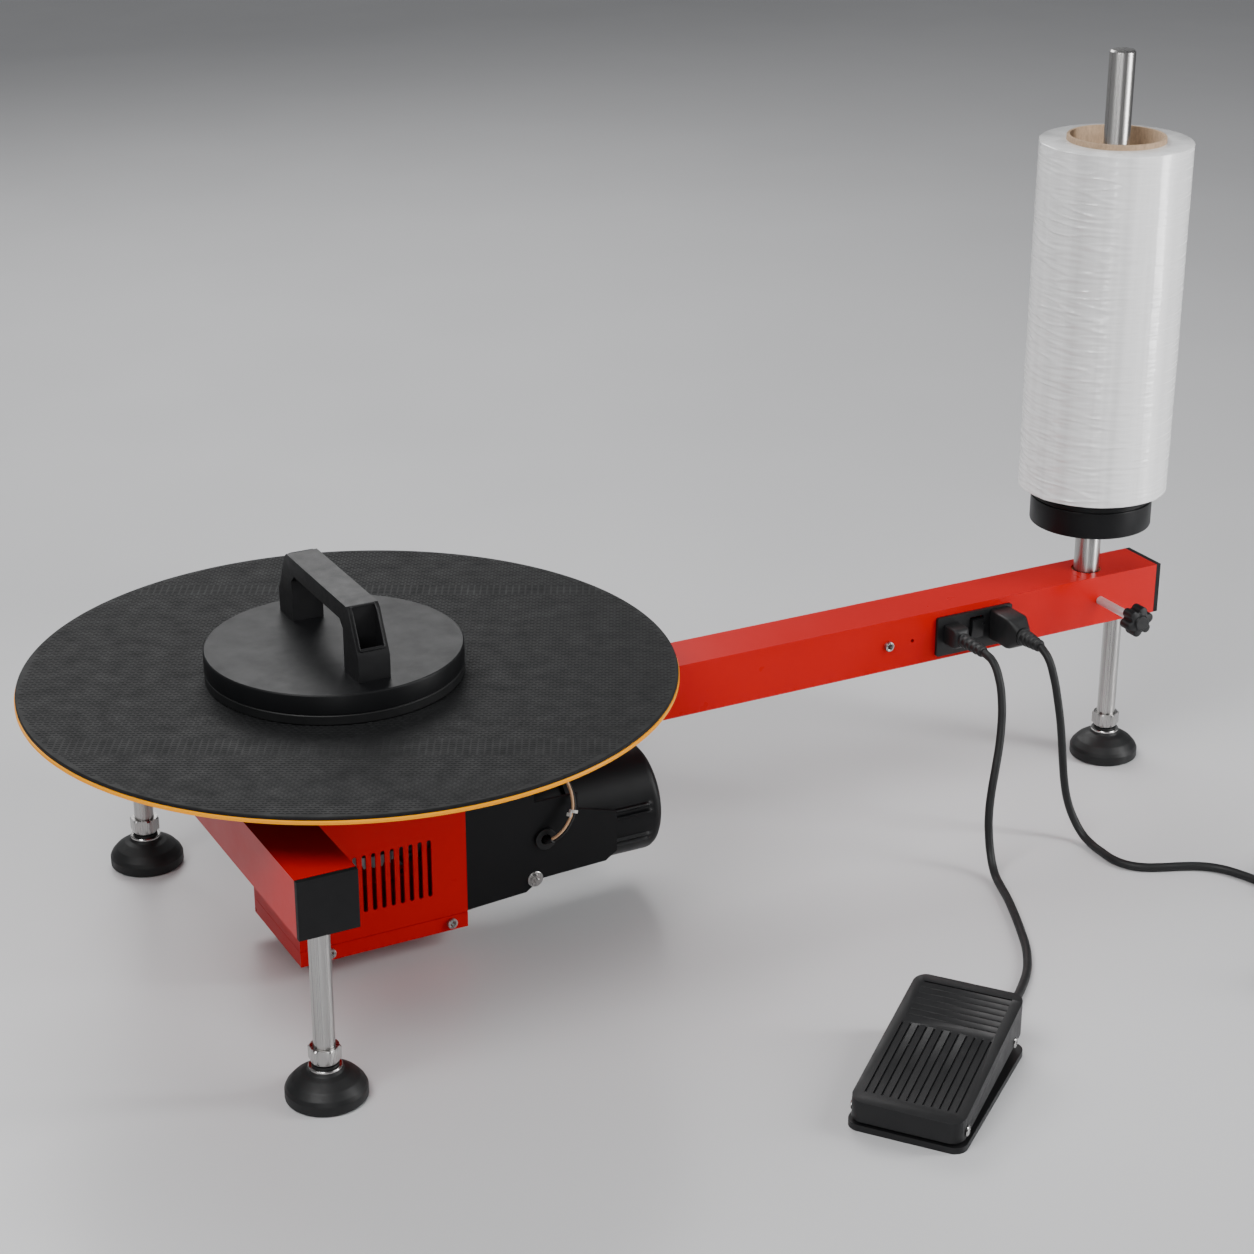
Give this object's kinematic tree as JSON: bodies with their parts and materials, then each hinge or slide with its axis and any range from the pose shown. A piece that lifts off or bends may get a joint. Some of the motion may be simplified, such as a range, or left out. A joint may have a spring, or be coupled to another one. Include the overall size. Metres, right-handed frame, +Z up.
{
  "type": "turntable pallet wrapper",
  "caption": "Low turntable wrapper: motor-driven round table on a steel T frame with levelling feet, braked film post at the arm's end, press weight and foot pedal.",
  "frame": {"origin": "middle of the object's footprint on the floor, without the free cords", "axes": "+X along the long arm towards the film post, +Y towards the back, away from the foot pedal, +Z up"},
  "size_m": [1.0335, 0.7224, 0.639],
  "materials": {
    "red_paint": "gloss powder coat",
    "black_paint": "satin",
    "black_plastic": "fine satin",
    "cap_plastic": "satin",
    "mat_rubber": "fine textured weave",
    "foot_rubber": "satin moulded",
    "cord_rubber": "smooth satin",
    "polished_steel": "polished",
    "brushed_steel": "brushed",
    "machined_steel": "turned",
    "bronze": "turned",
    "yellow_edge": "satin",
    "film": "clear wound stretch film, sheen bands",
    "cardboard": "matte paper",
    "switch_plastic": "satin"
  },
  "bodies": {
    "frame": {"long_arm": "red_paint", "cross_beam": "red_paint", "tube_caps": "cap_plastic", "frame_screws": "brushed_steel", "bearing_housing": "machined_steel", "spindle_bearings": "polished_steel", "drive_casing": "red_paint", "casing_tray": "red_paint", "motor_bracket": "black_paint", "bracket_bolts": "brushed_steel", "motor_housing": "black_paint", "motor_end_bell": "black_paint", "motor_stator": "machined_steel", "motor_cable": "cord_rubber", "cable_grommets": "foot_rubber", "post_bushes": "bronze", "panel_plate": "black_plastic", "mains_inlet": "black_plastic", "pedal_socket": "black_plastic", "leg_collars": "brushed_steel", "pedal_base": "black_plastic", "pedal_gland": "cord_rubber", "pedal_switch": "switch_plastic", "pedal_pivot_pin": "polished_steel", "mains_connector": "cord_rubber", "mains_cord": "cord_rubber", "mains_coil": "cord_rubber", "mains_plug": "cord_rubber", "pedal_plug": "cord_rubber", "pedal_cord": "cord_rubber", "pedal_spring": "polished_steel"},
    "turntable": {"spindle": "machined_steel", "bearing_inner_rings": "polished_steel", "crown_gear": "machined_steel", "hub_flange": "machined_steel", "hub_screws": "brushed_steel", "turntable_plate": "black_paint", "edge_trim": "yellow_edge", "turntable_mat": "mat_rubber"},
    "motor_shaft": {"motor_rotor": "machined_steel", "drive_pinion": "machined_steel"},
    "film_spool": {"film_post": "brushed_steel", "spool_flange": "black_plastic"},
    "film_reel": {"film_core": "cardboard", "film_roll": "film"},
    "press_weight": {"weight_pad": "foot_rubber", "weight_plate": "black_paint", "weight_handle": "black_plastic", "handle_screws": "polished_steel"},
    "brake_plunger": {"brake_pad": "bronze"},
    "brake_screw": {"brake_knob": "black_plastic"},
    "front_leg": {"leg_front": "brushed_steel"},
    "rear_leg": {"leg_rear": "brushed_steel"},
    "right_leg": {"leg_right": "brushed_steel"},
    "front_foot": {"foot_front": "foot_rubber"},
    "rear_foot": {"foot_rear": "foot_rubber"},
    "right_foot": {"foot_right": "foot_rubber"},
    "rocker": {"rocker_switch": "black_plastic"},
    "treadle": {"pedal_treadle": "black_plastic"}
  },
  "joints": [
    {"name": "turntable_spin", "type": "hinge", "parent": "frame", "child": "turntable", "pos_m": [-0.25325, 0.11121, 0.15], "axis": [0, 0, 1], "continuous": true},
    {"name": "motor_spin", "type": "hinge", "parent": "frame", "child": "motor_shaft", "pos_m": [-0.13325, 0.11121, 0.07], "axis": [1, 0, 0], "continuous": true},
    {"name": "film_spin", "type": "hinge", "parent": "frame", "child": "film_spool", "pos_m": [0.43875, 0.11121, 0.2], "axis": [0, 0, 1], "continuous": true},
    {"name": "film_lift", "type": "slide", "parent": "film_spool", "child": "film_reel", "axis": [0, 0, 1], "range_m": [0, 0.4]},
    {"name": "weight_lift", "type": "slide", "parent": "turntable", "child": "press_weight", "axis": [0, 0, 1], "range_m": [0, 0.3]},
    {"name": "brake_slide", "type": "slide", "parent": "frame", "child": "brake_plunger", "axis": [0, -1, 0], "range_m": [0, 0.0025]},
    {"name": "knob_turn", "type": "hinge", "parent": "brake_plunger", "child": "brake_screw", "pos_m": [0.43875, 0.05121, 0.1645], "axis": [0, -1, 0], "range_deg": [0, 720]},
    {"name": "front_leg_adjust", "type": "slide", "parent": "frame", "child": "front_leg", "axis": [0, 0, -1], "range_m": [0, 0.02]},
    {"name": "rear_leg_adjust", "type": "slide", "parent": "frame", "child": "rear_leg", "axis": [0, 0, -1], "range_m": [0, 0.02]},
    {"name": "right_leg_adjust", "type": "slide", "parent": "frame", "child": "right_leg", "axis": [0, 0, -1], "range_m": [0, 0.02]},
    {"name": "front_foot_swivel", "type": "hinge", "parent": "front_leg", "child": "front_foot", "pos_m": [-0.36325, -0.08979, 0.016], "axis": [0, 1, 0], "range_deg": [-8, 8]},
    {"name": "rear_foot_swivel", "type": "hinge", "parent": "rear_leg", "child": "rear_foot", "pos_m": [-0.36325, 0.31221, 0.016], "axis": [0, 1, 0], "range_deg": [-8, 8]},
    {"name": "right_foot_swivel", "type": "hinge", "parent": "right_leg", "child": "right_foot", "pos_m": [0.47275, 0.11121, 0.016], "axis": [0, 1, 0], "range_deg": [-8, 8]},
    {"name": "rocker_tip", "type": "hinge", "parent": "frame", "child": "rocker", "pos_m": [0.30625, 0.08721, 0.166], "axis": [-1, 0, 0], "range_deg": [0, 12]},
    {"name": "pedal_press", "type": "hinge", "parent": "frame", "child": "treadle", "pos_m": [-0.02211, -0.32296, 0.013], "axis": [-0.6157, 0.788, 0], "range_deg": [0, 3.5], "stiffness_Nm_per_rad": 10, "springref_deg": -11.46, "deforming": ["pedal_spring"]}
  ],
  "couplings": [
    {"joint": "motor_spin", "follows": "turntable_spin", "ratio": -3},
    {"joint": "knob_turn", "follows": "brake_slide", "rad_per_m": 5026.5}
  ]
}
